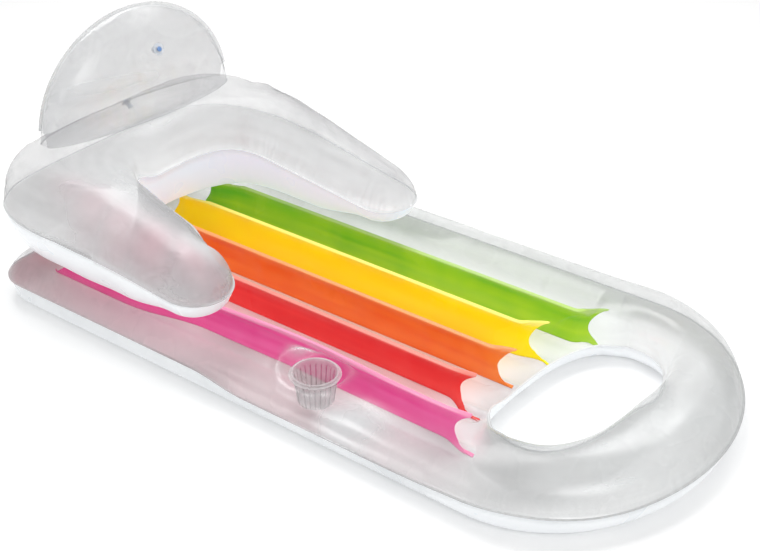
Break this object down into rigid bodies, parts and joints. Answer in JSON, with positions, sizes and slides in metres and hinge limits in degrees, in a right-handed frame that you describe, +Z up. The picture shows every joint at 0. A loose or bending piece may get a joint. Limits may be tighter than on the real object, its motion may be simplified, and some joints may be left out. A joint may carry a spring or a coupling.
{
  "type": "inflatable pool lounger",
  "caption": "Inflatable pool lounger with clear top films, coloured inner ribs, a foot well, a horseshoe back rest with arms, a head pillow and a fluted drink holder.",
  "frame": {"origin": "centre of the bounding box at the underside, where the base rests", "axes": "+Z up, +Y from the foot end to the head end, +X across, away from the drink holder"},
  "size_m": [0.837, 1.7026, 0.617],
  "materials": {
    "clear_film": "clear glossy vinyl film, slightly grey",
    "white_film": "opaque white vinyl film, satin",
    "pink_film": "translucent pink vinyl film",
    "red_film": "translucent red vinyl film",
    "orange_film": "translucent orange vinyl film",
    "yellow_film": "translucent yellow vinyl film",
    "green_film": "translucent green vinyl film",
    "cup_vinyl": "milky translucent moulded vinyl",
    "valve_vinyl": "clear moulded vinyl",
    "plug_vinyl": "pale blue moulded vinyl"
  },
  "bodies": {
    "lounger": {"base_top_film": "clear_film", "base_bottom_film": "white_film", "pink_rib": "pink_film", "red_rib": "red_film", "orange_rib": "orange_film", "yellow_rib": "yellow_film", "green_rib": "green_film", "drink_holder": "cup_vinyl", "backrest_top_film": "clear_film", "backrest_bottom_film": "white_film", "pillow_front_film": "clear_film", "pillow_back_film": "clear_film", "pillow_base_film": "clear_film", "base_valve_ring": "valve_vinyl", "backrest_valve_ring": "valve_vinyl", "pillow_valve_ring": "valve_vinyl"},
    "base_stem": {"base_valve_stem": "valve_vinyl"},
    "base_plug": {"base_valve_plug": "plug_vinyl"},
    "base_flap": {"base_valve_flap": "valve_vinyl"},
    "backrest_stem": {"backrest_valve_stem": "valve_vinyl"},
    "backrest_plug": {"backrest_valve_plug": "plug_vinyl"},
    "backrest_flap": {"backrest_valve_flap": "valve_vinyl"},
    "pillow_stem": {"pillow_valve_stem": "valve_vinyl"},
    "pillow_plug": {"pillow_valve_plug": "plug_vinyl"},
    "pillow_flap": {"pillow_valve_flap": "valve_vinyl"}
  },
  "joints": [
    {"name": "base_stem_slide", "type": "slide", "parent": "lounger", "child": "base_stem", "axis": [0.144, 0.4008, 0.9048], "range_m": [0, 0.0092]},
    {"name": "base_plug_slide", "type": "slide", "parent": "base_stem", "child": "base_plug", "axis": [0.144, 0.4008, 0.9048], "range_m": [0, 0.009]},
    {"name": "base_flap_hinge", "type": "hinge", "parent": "base_stem", "child": "base_flap", "pos_m": [0.34215, 0.75096, 0.09072], "axis": [-0.3059, -0.8515, 0.4259], "range_deg": [0, 60], "stiffness_Nm_per_rad": 0.0001, "springref_deg": -2.86},
    {"name": "backrest_stem_slide", "type": "slide", "parent": "lounger", "child": "backrest_stem", "axis": [0.0033, 0.7588, 0.6513], "range_m": [0, 0.0092]},
    {"name": "backrest_plug_slide", "type": "slide", "parent": "backrest_stem", "child": "backrest_plug", "axis": [0.0033, 0.7588, 0.6513], "range_m": [0, 0.009]},
    {"name": "backrest_flap_hinge", "type": "hinge", "parent": "backrest_stem", "child": "backrest_flap", "pos_m": [0.07046, 0.79954, 0.31456], "axis": [-0.0028, -0.6513, 0.7588], "range_deg": [0, 60], "stiffness_Nm_per_rad": 0.0001, "springref_deg": -2.86},
    {"name": "pillow_stem_slide", "type": "slide", "parent": "lounger", "child": "pillow_stem", "axis": [-0.0358, -0.9379, 0.3451], "range_m": [0, 0.0092]},
    {"name": "pillow_plug_slide", "type": "slide", "parent": "pillow_stem", "child": "pillow_plug", "axis": [-0.0358, -0.9379, 0.3451], "range_m": [0, 0.009]},
    {"name": "pillow_flap_hinge", "type": "hinge", "parent": "pillow_stem", "child": "pillow_flap", "pos_m": [0.04131, 0.67479, 0.50274], "axis": [0.0132, 0.3448, 0.9386], "range_deg": [0, 60], "stiffness_Nm_per_rad": 0.0001, "springref_deg": -2.86}
  ]
}
